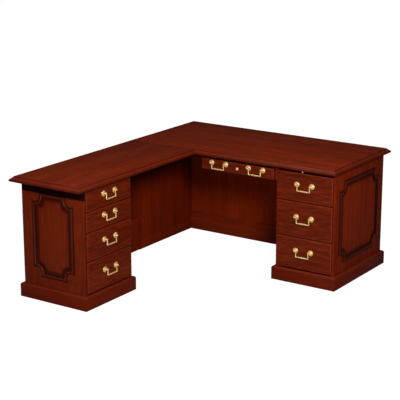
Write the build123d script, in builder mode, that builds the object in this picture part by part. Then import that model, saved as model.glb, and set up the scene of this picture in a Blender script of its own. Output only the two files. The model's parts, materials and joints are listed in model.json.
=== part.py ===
"""L-shaped executive corner desk: a main desk with a drawer pedestal at its right end and a
centre drawer, and a return with a second pedestal at its free end.

Millimetres, +Z up. The origin is on the floor under the middle of the desk's bounding box. The
sitter faces +Y: the main desk lies along the back, and the return runs forward from its left end.
"""

import os

from build123d import *

# ---------------------------------------------------------------- driving dimensions
MAIN_WIDTH = 1535.0
MAIN_DEPTH = 750.0
RETURN_LENGTH = 1165.0
RETURN_WIDTH = 530.0
HEIGHT = 762.0

TOP_THICKNESS = 33.0
EDGE_INSET = 22.0  # the edge moulding, from the tip in to the flat of the top
BOARD = 20.0  # case boards
ARRIS = 1.5  # rounding of the case boards' front edges
FLOOR_GAP = 3.0  # the case stands this high, on its glides

SIDE_OVERHANG = 20.0  # top beyond the case at the main desk's ends and the return's back
FRONT_OVERHANG = 34.0  # top beyond the drawer faces
VISITOR_OVERHANG = 66.0  # top beyond the modesty side
RETURN_END_OVERHANG = 90.0

RIGHT_PEDESTAL_WIDTH = 407.0
RETURN_PEDESTAL_WIDTH = 444.0

BASE_HEIGHT = 90.0
BASE_PROJECTION = 20.0
BASE_ROUND = 14.0
CASE_FLOOR = 16.0
CASE_FLOOR_DROP = 6.0  # from the top of the base down to the case floors

DRAWER_TOP = 711.0
RETURN_DRAWER_TOP = 724.0
DRAWER_GAP = 3.0
DRAWER_FLOOR = 95.0
RIGHT_DIVISIONS = (DRAWER_TOP, 527.0, 300.0, DRAWER_FLOOR)
RETURN_DIVISIONS = (RETURN_DRAWER_TOP, 593.0, 467.0, 291.0, DRAWER_FLOOR)
FRONT_THICKNESS = 20.0
FRONT_PROUD = 9.0  # drawer faces stand out of the case's edges by this
LIP = 8.5  # thickness of the lip that covers the case's edges
MOULDED_EDGE = 16.0
MOULDED_DEPTH = 5.0
MOULDED_STEP = 1.2
INNER_REVEAL = 3.0  # partition edge left showing beside the drawer fronts
OUTER_REVEAL = 12.0  # end panel edge left showing
SIDE_GAP = 1.5

CENTRE_DRAWER_X = (556.0, 1090.0)  # from the main desk's left tip
CENTRE_DRAWER_BOTTOM = 639.0
CENTRE_BOX_DEPTH = 420.0
HANGER = 12.0

BOX_WALL = 12.0
BOX_BOTTOM = 6.0
BOX_SIDE_ROOM = 3.0  # between a drawer's side and the case
BOX_HEADROOM = 14.0  # from the top of a drawer's side up to the division above
DIVIDER = 20.0
DIVIDER_DEPTH = 60.0
RUNNER_WIDTH = 24.0
RUNNER_PLAY = 0.5
RUNNER_JOINT = 0.4  # between a drawer rail and the runners behind it
RIGHT_BOX_DEPTH = 540.0
RETURN_BOX_DEPTH = 400.0

POST_SPACING = 105.0
ROSETTE_RADIUS = 17.5
ROSETTE_THICKNESS = 5.0
PIVOT_STAND_OFF = 15.0
POST_RADIUS = 5.5
BAIL_DROP = 36.0
BAIL_RADIUS = 3.5
BAIL_BEND = 9.0
BAIL_SPREAD = 1.0  # each leg leans out by this on its way down
PIN_RADIUS = 1.6
PIN_PLAY = 0.06
PULL_RISE = 17.0  # posts above the middle of the drawer face

WRITING_BOARD = 13.0
WRITING_DEPTH = 430.0
WRITING_RISE = 2.5  # the writing board's underside above the top drawer's division

PAST = 1.0  # how far a cut runs on beyond the face it goes through

# ---------------------------------------------------------------- derived places
OVERALL_DEPTH = MAIN_DEPTH + RETURN_LENGTH
LEFT = -MAIN_WIDTH / 2
RIGHT = MAIN_WIDTH / 2
BACK = OVERALL_DEPTH / 2
FORWARD = -OVERALL_DEPTH / 2
UNDER_TOP = HEIGHT - TOP_THICKNESS

MAIN_FRONT = BACK - MAIN_DEPTH  # tip line of the main desk's front edge
RETURN_FRONT = LEFT + RETURN_WIDTH  # tip line of the return's inner edge

CASE_LEFT = LEFT + SIDE_OVERHANG
CASE_RIGHT = RIGHT - SIDE_OVERHANG
CASE_BACK = BACK - VISITOR_OVERHANG
CASE_END = FORWARD + RETURN_END_OVERHANG

RIGHT_FACE = MAIN_FRONT + FRONT_OVERHANG  # y of the main desk's drawer faces
RETURN_FACE = RETURN_FRONT - FRONT_OVERHANG  # x of the return's drawer faces
RIGHT_CASE_FRONT = RIGHT_FACE + FRONT_PROUD
RETURN_CASE_FRONT = RETURN_FACE - FRONT_PROUD

PARTITION_X = CASE_RIGHT - RIGHT_PEDESTAL_WIDTH  # knee face of the right partition
PARTITION_Y = CASE_END + RETURN_PEDESTAL_WIDTH  # knee face of the return's partition

os.makedirs("parts", exist_ok=True)


def save(piece, name):
    """Labels a finished piece and writes its STEP file."""
    piece.part.label = name
    export_step(piece.part, f"parts/{name}.step")
    print(name, "solids", len(piece.part.solids()), "volume", round(piece.part.volume))


def add_board(x, y, z):
    """Adds a box between two x, two y and two z values to the part being built."""
    centre = ((x[0] + x[1]) / 2, (y[0] + y[1]) / 2, (z[0] + z[1]) / 2)
    with Locations(centre):
        Box(abs(x[1] - x[0]), abs(y[1] - y[0]), abs(z[1] - z[0]))


# ---------------------------------------------------------------- tops
# The edge moulding's section, from the flat of the top out to the tip and back underneath.
QUIRK = 2.5
NOSE_TOP = 22.0  # depth of the nose's upper edge below the flat
NOSE_LOW = 28.0
UNDER_INSET = 9.0
RING = 45.0  # how far in the swept edge reaches before the plain slab takes over


def add_moulded_top():
    """The whole L-shaped top in one, before it is parted at the joint line."""
    tips = [
        (0, BACK),
        (RIGHT, BACK),
        (RIGHT, MAIN_FRONT),
        (RETURN_FRONT, MAIN_FRONT),
        (RETURN_FRONT, FORWARD),
        (LEFT, FORWARD),
        (LEFT, BACK),
    ]
    with BuildLine() as edge:
        Polyline([(x, y, HEIGHT) for x, y in tips], close=True)
    with BuildSketch(Plane(origin=(0, BACK, HEIGHT), x_dir=(0, -1, 0), z_dir=(-1, 0, 0))) as section:
        with BuildLine():
            quirk = Polyline((RING, 0), (EDGE_INSET, 0), (EDGE_INSET, -QUIRK))
            shoulder = (EDGE_INSET * 0.52, -(QUIRK + NOSE_TOP) * 0.47)
            upper = ThreePointArc(quirk @ 1, (EDGE_INSET * 0.72, -QUIRK - 4.2), shoulder)
            lower = ThreePointArc(upper @ 1, (EDGE_INSET * 0.2, -NOSE_TOP * 0.72), (1.0, -NOSE_TOP))
            nose = Line(lower @ 1, (0, -NOSE_TOP - 1))
            drop = Line(nose @ 1, (0, -NOSE_LOW))
            cove = Line(drop @ 1, (UNDER_INSET, -TOP_THICKNESS))
            Polyline(cove @ 1, (RING, -TOP_THICKNESS), (RING, 0))
        make_face()
    sweep(sections=section.sketch, path=edge.wire(), transition=Transition.RIGHT)
    slab_inset = RING - 1.0
    with BuildSketch(Plane.XY.offset(UNDER_TOP)) as slab:
        with BuildLine():
            Polyline(
                (LEFT + slab_inset, BACK - slab_inset),
                (RIGHT - slab_inset, BACK - slab_inset),
                (RIGHT - slab_inset, MAIN_FRONT + slab_inset),
                (RETURN_FRONT - slab_inset, MAIN_FRONT + slab_inset),
                (RETURN_FRONT - slab_inset, FORWARD + slab_inset),
                (LEFT + slab_inset, FORWARD + slab_inset),
                close=True,
            )
        make_face()
    extrude(slab.sketch, amount=TOP_THICKNESS)


def keep_inside(outline):
    """Keeps what stands over an outline, as a saw cut through the top's full thickness does."""
    with BuildSketch(Plane.XY.offset(UNDER_TOP - PAST)) as kept:
        with BuildLine():
            Polyline(*outline, close=True)
        make_face()
    extrude(kept.sketch, amount=TOP_THICKNESS + 2 * PAST, mode=Mode.INTERSECT)


JOINT_Y = MAIN_FRONT + EDGE_INSET
MITRE = (RETURN_FRONT - EDGE_INSET, JOINT_Y)
BEYOND = 60.0
MITRE_OUT = (RETURN_FRONT + BEYOND, MAIN_FRONT - BEYOND)

with BuildPart() as main_top:
    add_moulded_top()
    keep_inside(
        [
            (LEFT - BEYOND, JOINT_Y),
            MITRE,
            MITRE_OUT,
            (RIGHT + BEYOND, MAIN_FRONT - BEYOND),
            (RIGHT + BEYOND, BACK + BEYOND),
            (LEFT - BEYOND, BACK + BEYOND),
        ]
    )
save(main_top, "main_top")

with BuildPart() as return_top:
    add_moulded_top()
    keep_inside(
        [
            (LEFT - BEYOND, JOINT_Y),
            MITRE,
            MITRE_OUT,
            (RETURN_FRONT + BEYOND, FORWARD - BEYOND),
            (LEFT - BEYOND, FORWARD - BEYOND),
        ]
    )
save(return_top, "return_top")

# ---------------------------------------------------------------- case boards
CASE_HEIGHTS = (FLOOR_GAP, UNDER_TOP)

with BuildPart() as right_end_panel:
    add_board((CASE_RIGHT - BOARD, CASE_RIGHT), (RIGHT_CASE_FRONT, CASE_BACK), CASE_HEIGHTS)
    fillet(right_end_panel.edges().filter_by(Axis.Z).group_by(Axis.Y)[0], ARRIS)
save(right_end_panel, "right_end_panel")

with BuildPart() as right_partition:
    add_board((PARTITION_X, PARTITION_X + BOARD), (RIGHT_CASE_FRONT, CASE_BACK - BOARD), CASE_HEIGHTS)
    fillet(right_partition.edges().filter_by(Axis.Z).group_by(Axis.Y)[0], ARRIS)
save(right_partition, "right_partition")

KNEE_LEFT = CASE_LEFT + BOARD  # inner face of the return's long back panel
KNEE_TRIM = 7.0  # the main desk's left end panel is thicker than the return's by this
MAIN_KNEE_LEFT = KNEE_LEFT + KNEE_TRIM

with BuildPart() as left_end_panel:
    add_board((CASE_LEFT, MAIN_KNEE_LEFT), (RIGHT_CASE_FRONT, CASE_BACK), CASE_HEIGHTS)
save(left_end_panel, "left_end_panel")

with BuildPart() as return_back_panel:
    add_board((CASE_LEFT, CASE_LEFT + BOARD), (CASE_END + BOARD, RIGHT_CASE_FRONT), CASE_HEIGHTS)
save(return_back_panel, "return_back_panel")

with BuildPart() as return_end_panel:
    add_board((CASE_LEFT, RETURN_CASE_FRONT), (CASE_END, CASE_END + BOARD), CASE_HEIGHTS)
    fillet(return_end_panel.edges().filter_by(Axis.Z).group_by(Axis.X)[-1], ARRIS)
save(return_end_panel, "return_end_panel")

with BuildPart() as return_partition:
    add_board((CASE_LEFT + BOARD, RETURN_CASE_FRONT), (PARTITION_Y - BOARD, PARTITION_Y), CASE_HEIGHTS)
    fillet(return_partition.edges().filter_by(Axis.Z).group_by(Axis.X)[-1], ARRIS)
save(return_partition, "return_partition")

# The modesty side: two panels in the knee space, one board behind the pedestal, and a deeper
# rail under the two panels with a bead along it.
MODESTY_RAIL_TOP = 130.0
MODESTY_BEAD = 66.0
RAIL_EXTRA = 7.0
MODESTY_JOINT = 395.0  # from the left end panel to the joint between the two panels
KNEE_JOINT = KNEE_LEFT + MODESTY_JOINT
JOINT_PLAY = 0.2  # from the joint line to each panel

with BuildPart() as modesty_panels:
    panel_y = (CASE_BACK - BOARD, CASE_BACK)
    panel_z = (MODESTY_RAIL_TOP, UNDER_TOP)
    add_board((MAIN_KNEE_LEFT, KNEE_JOINT - JOINT_PLAY), panel_y, panel_z)
    add_board((KNEE_JOINT + JOINT_PLAY, PARTITION_X), panel_y, panel_z)
    at_joint = [e for e in modesty_panels.edges().filter_by(Axis.Z) if abs(e.center().X - KNEE_JOINT) < 1]
    chamfer(at_joint, ARRIS)
    add_board((PARTITION_X + 2 * JOINT_PLAY, CASE_RIGHT - BOARD), panel_y, CASE_HEIGHTS)
save(modesty_panels, "modesty_panels")

RAIL_FACE = CASE_BACK - BOARD - RAIL_EXTRA
KNEE_BEAD = 4.0
KNEE_RAIL_FACE = RAIL_FACE - KNEE_BEAD
RAIL_ROUND = 3.0
with BuildPart() as modesty_rail:
    add_board((MAIN_KNEE_LEFT, PARTITION_X), (RAIL_FACE, CASE_BACK), (FLOOR_GAP, MODESTY_RAIL_TOP))
    front_top = modesty_rail.edges().filter_by(Axis.X).group_by(Axis.Y)[0].sort_by(Axis.Z)[-1]
    fillet(front_top, RAIL_ROUND)
    add_board((MAIN_KNEE_LEFT, PARTITION_X), (KNEE_RAIL_FACE, RAIL_FACE), (FLOOR_GAP, MODESTY_BEAD))
    bead_top = modesty_rail.edges().filter_by(Axis.X).group_by(Axis.Y)[0].sort_by(Axis.Z)[-1]
    fillet(bead_top, RAIL_ROUND)
save(modesty_rail, "modesty_rail")

# Trim on the knee face: a deep rail along the return's back panel, then an upright bead where the
# main desk's end panel begins, and a low rail on from the bead to the modesty side.
RETURN_RAIL_TOP = 228.0
BEAD_WIDTH = 20.0
BEAD_PROUD = 3.0
BEAD_ROUND = 1.4
with BuildPart() as knee_trim:
    bead_y = (RIGHT_CASE_FRONT, RIGHT_CASE_FRONT + BEAD_WIDTH)
    proud_x = (MAIN_KNEE_LEFT, MAIN_KNEE_LEFT + BEAD_PROUD)
    add_board((KNEE_LEFT, MAIN_KNEE_LEFT), (PARTITION_Y, RIGHT_CASE_FRONT), (FLOOR_GAP, RETURN_RAIL_TOP))
    add_board(proud_x, bead_y, (FLOOR_GAP, UNDER_TOP))
    fillet(knee_trim.edges().filter_by(Axis.Z).group_by(Axis.X)[-1], BEAD_ROUND)
    add_board(proud_x, (bead_y[1] + JOINT_PLAY, KNEE_RAIL_FACE), (FLOOR_GAP, MODESTY_BEAD))
save(knee_trim, "knee_trim")

FLOOR_SET_BACK = 18.0
CASE_FLOOR_TOP = BASE_HEIGHT - CASE_FLOOR_DROP
with BuildPart() as case_floors:
    floor_z = (CASE_FLOOR_TOP - CASE_FLOOR, CASE_FLOOR_TOP)
    right_floor_y = (RIGHT_CASE_FRONT + FLOOR_SET_BACK, CASE_BACK - BOARD)
    add_board((PARTITION_X + BOARD, CASE_RIGHT - BOARD), right_floor_y, floor_z)
    return_floor_x = (KNEE_LEFT, RETURN_CASE_FRONT - FLOOR_SET_BACK)
    add_board(return_floor_x, (CASE_END + BOARD, PARTITION_Y - BOARD), floor_z)
save(case_floors, "case_floors")

# Rails that tie the case sides together under the top. The centre drawer's lock turns up behind
# the main one.
RAIL_SET_BACK = 9.0
RAIL_THICKNESS = 10.0
APRON_BOTTOM = DRAWER_TOP + DRAWER_GAP
with BuildPart() as front_rails:
    rail_y = (RIGHT_FACE + RAIL_SET_BACK, RIGHT_FACE + RAIL_SET_BACK + RAIL_THICKNESS)
    add_board((MAIN_KNEE_LEFT + BEAD_PROUD, PARTITION_X), rail_y, (APRON_BOTTOM, UNDER_TOP))
    add_board(
        (RETURN_FACE - RAIL_SET_BACK - RAIL_THICKNESS, RETURN_FACE - RAIL_SET_BACK),
        (CASE_END + BOARD, PARTITION_Y - BOARD),
        (APRON_BOTTOM, UNDER_TOP),
    )
save(front_rails, "front_rails")


# ---------------------------------------------------------------- moulded base
BASE_SIDES = (FLOOR_GAP, BASE_HEIGHT)


def round_base_top(piece, x_lines, y_lines):
    """Rounds the top outer edges of a base that lie on the given x or y lines."""
    top_edges = piece.edges().group_by(Axis.Z)[-1]
    along_y = [e for e in top_edges.filter_by(Axis.Y) if min(abs(e.center().X - x) for x in x_lines) < 0.1]
    along_x = [e for e in top_edges.filter_by(Axis.X) if min(abs(e.center().Y - y) for y in y_lines) < 0.1]
    fillet(along_y + along_x, BASE_ROUND)


with BuildPart() as right_base:
    out_x = (PARTITION_X - BASE_PROJECTION, CASE_RIGHT + BASE_PROJECTION)
    out_y = (RIGHT_CASE_FRONT - BASE_PROJECTION, CASE_BACK + BASE_PROJECTION)
    add_board(out_x, (out_y[0], RIGHT_CASE_FRONT), BASE_SIDES)
    add_board((out_x[0], PARTITION_X), (out_y[0], KNEE_RAIL_FACE), BASE_SIDES)
    add_board((CASE_RIGHT, out_x[1]), out_y, BASE_SIDES)
    round_base_top(right_base, out_x, out_y)
save(right_base, "right_base")

with BuildPart() as outer_base:
    out_x = (CASE_LEFT - BASE_PROJECTION, CASE_RIGHT)
    out_y = (CASE_END, CASE_BACK + BASE_PROJECTION)
    add_board(out_x, (CASE_BACK, out_y[1]), BASE_SIDES)
    add_board((out_x[0], CASE_LEFT), out_y, BASE_SIDES)
    round_base_top(outer_base, out_x[:1], out_y[1:])
save(outer_base, "outer_base")

with BuildPart() as return_base:
    out_x = (CASE_LEFT - BASE_PROJECTION, RETURN_CASE_FRONT + BASE_PROJECTION)
    out_y = (CASE_END - BASE_PROJECTION, PARTITION_Y + BASE_PROJECTION)
    add_board(out_x, (out_y[0], CASE_END), BASE_SIDES)
    add_board((RETURN_CASE_FRONT, out_x[1]), out_y, BASE_SIDES)
    add_board((KNEE_LEFT + KNEE_TRIM, out_x[1]), (PARTITION_Y, out_y[1]), BASE_SIDES)
    round_base_top(return_base, out_x, out_y)
save(return_base, "return_base")

# ---------------------------------------------------------------- applied mouldings
MOULDING_WIDTH = 26.0
MOULDING_RISE = 9.0
TICKET = 52.0  # radius of the hollow corners
EAR = 7.0  # the short straight step at each end of a hollow
RIGHT_FRAME = (495.0, 490.0)  # along the middle of the moulding
RETURN_FRAME = (282.0, 490.0)
PANEL_MIDDLE = (BASE_HEIGHT + UNDER_TOP) / 2


def draw_ticket(width, height, grow):
    """A rectangle with hollow corners, its outline moved out by grow on every side."""
    half_w, half_h = width / 2, height / 2
    radius = TICKET - grow
    for x_sign, y_sign in ((1, 1), (-1, 1), (-1, -1), (1, -1)):
        centre = (x_sign * (half_w - EAR), y_sign * (half_h - EAR))
        step_x = centre[0] - x_sign * radius
        step_y = centre[1] - y_sign * radius
        slant = radius * 0.5**0.5
        hollow = (centre[0] - x_sign * slant, centre[1] - y_sign * slant)
        Polyline((0, y_sign * (half_h + grow)), (step_x, y_sign * (half_h + grow)), (step_x, centre[1]))
        ThreePointArc((step_x, centre[1]), hollow, (centre[0], step_y))
        Polyline((centre[0], step_y), (x_sign * (half_w + grow), step_y), (x_sign * (half_w + grow), 0))


def add_ticket_frame(plane, width, height):
    """A two-step moulding frame with hollow corners, standing on plane, centred on its origin."""
    foot = (MOULDING_WIDTH / 2, MOULDING_RISE * 0.4)
    ridge = (MOULDING_WIDTH * 0.28, MOULDING_RISE)
    for half_width, rise in (foot, ridge):
        with BuildSketch(plane) as frame:
            with BuildLine():
                draw_ticket(width, height, half_width)
            make_face()
            with BuildLine(mode=Mode.PRIVATE) as inside:
                draw_ticket(width, height, -half_width)
            make_face(inside.edges(), mode=Mode.SUBTRACT)
        extrude(frame.sketch, amount=rise)


with BuildPart() as right_moulding:
    right_middle = (CASE_RIGHT, (RIGHT_CASE_FRONT + CASE_BACK) / 2, PANEL_MIDDLE)
    right_plane = Plane(origin=right_middle, x_dir=(0, 1, 0), z_dir=(1, 0, 0))
    add_ticket_frame(right_plane, *RIGHT_FRAME)
save(right_moulding, "right_moulding")

with BuildPart() as return_moulding:
    end_middle = ((CASE_LEFT + RETURN_CASE_FRONT) / 2, CASE_END, PANEL_MIDDLE)
    end_plane = Plane(origin=end_middle, x_dir=(1, 0, 0), z_dir=(0, -1, 0))
    add_ticket_frame(end_plane, *RETURN_FRAME)
save(return_moulding, "return_moulding")


# ---------------------------------------------------------------- drawer dividers and runners
def add_divider_frames(divisions, rail, runners):
    """Adds, at each division but the highest, a front rail and the two runners behind it.

    The rail and the runners are given as (x, y) ranges; the lowest level has runners only, which
    stand on the case floor.
    """
    for z in divisions[1:-1]:
        levels = (z - DIVIDER / 2, z + DIVIDER / 2)
        add_board(*rail, levels)
        for runner in runners:
            add_board(*runner, levels)
    for runner in runners:
        add_board(*runner, (CASE_FLOOR_TOP, divisions[-1] + DIVIDER / 2))


CLEAT = 13.0
CLEAT_RISE = 2.0
with BuildPart() as right_dividers:
    inside_x = (PARTITION_X + BOARD, CASE_RIGHT - BOARD)
    rail_y = (RIGHT_CASE_FRONT, RIGHT_CASE_FRONT + DIVIDER_DEPTH)
    runner_y = (rail_y[1] + RUNNER_JOINT, CASE_BACK - BOARD)
    runner_x = ((inside_x[0], inside_x[0] + RUNNER_WIDTH), (inside_x[1] - RUNNER_WIDTH, inside_x[1]))
    add_divider_frames(RIGHT_DIVISIONS, (inside_x, rail_y), [(x, runner_y) for x in runner_x])
    # Cleats that carry the writing board.
    for x in runner_x:
        add_board(x, runner_y, (DRAWER_TOP + CLEAT_RISE - CLEAT, DRAWER_TOP + CLEAT_RISE))
save(right_dividers, "right_dividers")

with BuildPart() as return_dividers:
    inside_y = (CASE_END + BOARD, PARTITION_Y - BOARD)
    rail_x = (RETURN_CASE_FRONT - DIVIDER_DEPTH, RETURN_CASE_FRONT)
    runner_x = (KNEE_LEFT, rail_x[0] - RUNNER_JOINT)
    runner_y = ((inside_y[0], inside_y[0] + RUNNER_WIDTH), (inside_y[1] - RUNNER_WIDTH, inside_y[1]))
    add_divider_frames(RETURN_DIVISIONS, (rail_x, inside_y), [(runner_x, y) for y in runner_y])
save(return_dividers, "return_dividers")

# ---------------------------------------------------------------- drawers
STUD_RADIUS = 2.0
STUD_PLAY = 0.2
STUD_END = 2.0  # the stud shows past its nut by this
NUT_PLAY = 0.05
NUT_RADIUS = 4.5
NUT_THICKNESS = 3.0
LEG_GAP = 10.0  # from a post's axis in to the bail's leg
GRIP_RADIUS = 4.8
GRIP_LENGTH = 48.0
LOCK_RADIUS = 7.0
LOCK_PLAY = 0.08


def section_planes(face):
    """The two planes across a face: one to extrude along its width, one along its height."""
    across = Plane(origin=face.origin, x_dir=face.y_dir, z_dir=face.x_dir)
    upright = Plane(origin=face.origin, x_dir=face.x_dir, z_dir=-face.y_dir)
    return across, upright


def draw_lip_section(low, high):
    """The lip's section, from low to high, with a stepped quarter-round along both edges."""
    depth = MOULDED_STEP + MOULDED_DEPTH
    for edge, side in ((low, 1), (high, -1)):
        flat = edge + side * MOULDED_EDGE
        bulge = (edge + side * MOULDED_EDGE * 0.29, -MOULDED_STEP - MOULDED_DEPTH * 0.29)
        Polyline(((low + high) / 2, 0), (flat, 0), (flat, -MOULDED_STEP))
        ThreePointArc((flat, -MOULDED_STEP), bulge, (edge, -depth))
        Line((edge, -depth), (edge, -LIP))
    Line((low, -LIP), (high, -LIP))


def make_front(face, lip_x, lip_y, core_x, core_y, studs, lock):
    """A drawer front: a moulded lip on a thicker core, bored for the pulls and the lock."""
    across, upright = section_planes(face)
    reach = max(abs(x) for x in lip_x) + PAST
    with BuildPart() as front:
        with BuildSketch(across):
            with BuildLine():
                draw_lip_section(*lip_y)
            make_face()
        extrude(amount=reach, both=True)
        with BuildSketch(upright):
            with BuildLine():
                draw_lip_section(*lip_x)
            make_face()
        extrude(amount=reach, both=True, mode=Mode.INTERSECT)
        with BuildSketch(face.offset(-LIP)):
            with Locations(((core_x[0] + core_x[1]) / 2, (core_y[0] + core_y[1]) / 2)):
                Rectangle(core_x[1] - core_x[0], core_y[1] - core_y[0])
        extrude(amount=LIP - FRONT_THICKNESS)
        with BuildSketch(face.offset(PAST)):
            with Locations(*studs):
                Circle(STUD_RADIUS + STUD_PLAY)
        extrude(amount=-FRONT_THICKNESS - 2 * PAST, mode=Mode.SUBTRACT)
        if lock:
            with BuildSketch(face.offset(PAST)):
                with Locations(lock):
                    Circle(LOCK_RADIUS + LOCK_PLAY)
            extrude(amount=-FRONT_THICKNESS - 2 * PAST, mode=Mode.SUBTRACT)
    return front


def make_box(face, box_x, box_y, depth):
    """The drawer behind its front: two sides, a back and a bottom."""
    middle_x = (box_x[0] + box_x[1]) / 2
    room_y = (box_y[0] + BOX_BOTTOM, box_y[1] + PAST)
    with BuildPart() as box:
        with BuildSketch(face.offset(-FRONT_THICKNESS)):
            with Locations((middle_x, (box_y[0] + box_y[1]) / 2)):
                Rectangle(box_x[1] - box_x[0], box_y[1] - box_y[0])
        extrude(amount=-depth)
        with BuildSketch(face.offset(-FRONT_THICKNESS)):
            with Locations((middle_x, (room_y[0] + room_y[1]) / 2)):
                Rectangle(box_x[1] - box_x[0] - 2 * BOX_WALL, room_y[1] - room_y[0])
        extrude(amount=BOX_WALL - depth, mode=Mode.SUBTRACT)
    return box


def draw_post_section():
    """Half the section of a rosette with its post, ball and threaded stud, up the face's normal."""
    neck = POST_RADIUS * 0.62
    ball_low = PIVOT_STAND_OFF - (POST_RADIUS**2 - neck**2) ** 0.5
    stud_end = -FRONT_THICKNESS - NUT_THICKNESS - STUD_END
    disc = Polyline(
        (0, stud_end), (STUD_RADIUS, stud_end), (STUD_RADIUS, 0), (ROSETTE_RADIUS, 0), (ROSETTE_RADIUS, 1.4)
    )
    rim = ThreePointArc(disc @ 1, (ROSETTE_RADIUS - 1.8, 3.0), (ROSETTE_RADIUS - 4.5, 2.6))
    dome = ThreePointArc(rim @ 1, (ROSETTE_RADIUS * 0.5, ROSETTE_THICKNESS), (neck, ROSETTE_THICKNESS + 1.6))
    stem = Line(dome @ 1, (neck, ball_low))
    ball = ThreePointArc(stem @ 1, (POST_RADIUS, PIVOT_STAND_OFF), (0, PIVOT_STAND_OFF + POST_RADIUS))
    Line(ball @ 1, (0, stud_end))


def make_posts(face, studs, pivots_inward):
    """Rosettes with posts, their studs and nuts. Each ball is bored from its inner side."""
    with BuildPart() as posts:
        for point in studs:
            base = Plane(origin=face.from_local_coords(Vector(*point)), x_dir=face.x_dir, z_dir=-face.y_dir)
            with BuildSketch(base):
                with BuildLine():
                    draw_post_section()
                make_face()
            revolve(axis=Axis(base.origin, face.z_dir))
        for point, inward in zip(studs, pivots_inward):
            pivot = face.from_local_coords(Vector(*point, PIVOT_STAND_OFF))
            bore = Plane(origin=pivot - face.x_dir * inward * 0.5, z_dir=face.x_dir * inward)
            with BuildSketch(bore):
                Circle(PIN_RADIUS + PIN_PLAY)
            extrude(amount=POST_RADIUS + 2, mode=Mode.SUBTRACT)
        with BuildSketch(face.offset(-FRONT_THICKNESS)):
            with Locations(*studs):
                RegularPolygon(NUT_RADIUS, 6)
                Circle(STUD_RADIUS + NUT_PLAY, mode=Mode.SUBTRACT)
        extrude(amount=-NUT_THICKNESS)
    return posts


def make_bail(face, centre_x, post_y):
    """A bail: a bent rod with a thicker grip and a pin at each end."""
    lifted = face.offset(PIVOT_STAND_OFF)
    top_x = POST_SPACING / 2 - LEG_GAP
    low_x = top_x + BAIL_SPREAD
    rod = [
        (centre_x - top_x, post_y),
        (centre_x - low_x, post_y - BAIL_DROP),
        (centre_x + low_x, post_y - BAIL_DROP),
        (centre_x + top_x, post_y),
    ]
    with BuildPart() as bail:
        with BuildLine(lifted):
            path = FilletPolyline(*rod, radius=BAIL_BEND)
        start = path @ 0
        with BuildSketch(Plane(origin=start, z_dir=path % 0)):
            Circle(BAIL_RADIUS)
        sweep(path=path)
        for end in (path @ 0, path @ 1):
            with Locations(end):
                Sphere(BAIL_RADIUS)
        middle = lifted.from_local_coords(Vector(centre_x, post_y - BAIL_DROP))
        with BuildSketch(Plane(origin=middle, z_dir=face.x_dir)):
            Circle(GRIP_RADIUS)
        extrude(amount=GRIP_LENGTH / 2, both=True)
        for end, side in ((path @ 0, -1), (path @ 1, 1)):
            with BuildSketch(Plane(origin=end, z_dir=face.x_dir * side)):
                Circle(PIN_RADIUS)
            extrude(amount=LEG_GAP - 1)
    return bail


def save_drawer(name, face, lip_x, lip_y, case_x, case_y, depth, pulls, lock=None):
    """Makes one drawer's front, box, posts and bails.

    The face plane has x along the face, y up and z out. The lip covers lip_x by lip_y. The
    opening behind it is case_x wide, and case_y is from its runners up to the division above.
    """
    post_y = (lip_y[0] + lip_y[1]) / 2 + min(PULL_RISE, (lip_y[1] - lip_y[0]) * 0.2)
    studs = [(x + side * POST_SPACING / 2, post_y) for x in pulls for side in (-1, 1)]
    core_x = (case_x[0] + SIDE_GAP, case_x[1] - SIDE_GAP)
    core_y = (case_y[0] + RUNNER_PLAY, case_y[1] - DIVIDER / 2 - RUNNER_PLAY)
    box_x = (case_x[0] + BOX_SIDE_ROOM, case_x[1] - BOX_SIDE_ROOM)
    box_y = (case_y[0] + RUNNER_PLAY, case_y[1] - BOX_HEADROOM)
    save(make_front(face, lip_x, lip_y, core_x, core_y, studs, lock), f"{name}_front")
    save(make_box(face, box_x, box_y, depth), f"{name}_box")
    save(make_posts(face, studs, [1, -1] * len(pulls)), f"{name}_posts")
    sides = ("bail",) if len(pulls) == 1 else ("left_bail", "right_bail")
    for side, x in zip(sides, pulls):
        save(make_bail(face, x, post_y), f"{name}_{side}")
        pivot = face.from_local_coords(Vector(x, post_y, PIVOT_STAND_OFF))
        print("  pivot", name, side, [round(v, 2) for v in pivot])
    low = face.from_local_coords(Vector(box_x[0] + BOX_WALL, box_y[0] + BOX_BOTTOM, -FRONT_THICKNESS))
    high = face.from_local_coords(Vector(box_x[1] - BOX_WALL, box_y[1], BOX_WALL - FRONT_THICKNESS - depth))
    print("  hollow", name, [round(v, 1) for v in low], [round(v, 1) for v in high])


def local_case(low, high):
    """An opening's y range on a face whose origin is at the middle of its division heights."""
    middle = (low + high) / 2
    return (low + DIVIDER / 2 - middle, high - middle)


RIGHT_MIDDLE = (PARTITION_X + CASE_RIGHT) / 2
right_half = (RIGHT_PEDESTAL_WIDTH - 2 * BOARD) / 2
right_lip = (-RIGHT_PEDESTAL_WIDTH / 2 + INNER_REVEAL, RIGHT_PEDESTAL_WIDTH / 2 - OUTER_REVEAL)
for number, (high, low) in enumerate(zip(RIGHT_DIVISIONS, RIGHT_DIVISIONS[1:]), start=1):
    face_origin = (RIGHT_MIDDLE, RIGHT_FACE, (high + low) / 2)
    save_drawer(
        f"right_drawer_{number}",
        Plane(origin=face_origin, x_dir=(1, 0, 0), z_dir=(0, -1, 0)),
        right_lip,
        ((low - high + DRAWER_GAP) / 2, (high - low - DRAWER_GAP) / 2),
        (-right_half, right_half),
        local_case(low, high),
        RIGHT_BOX_DEPTH,
        [sum(right_lip) / 2],
    )

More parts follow.
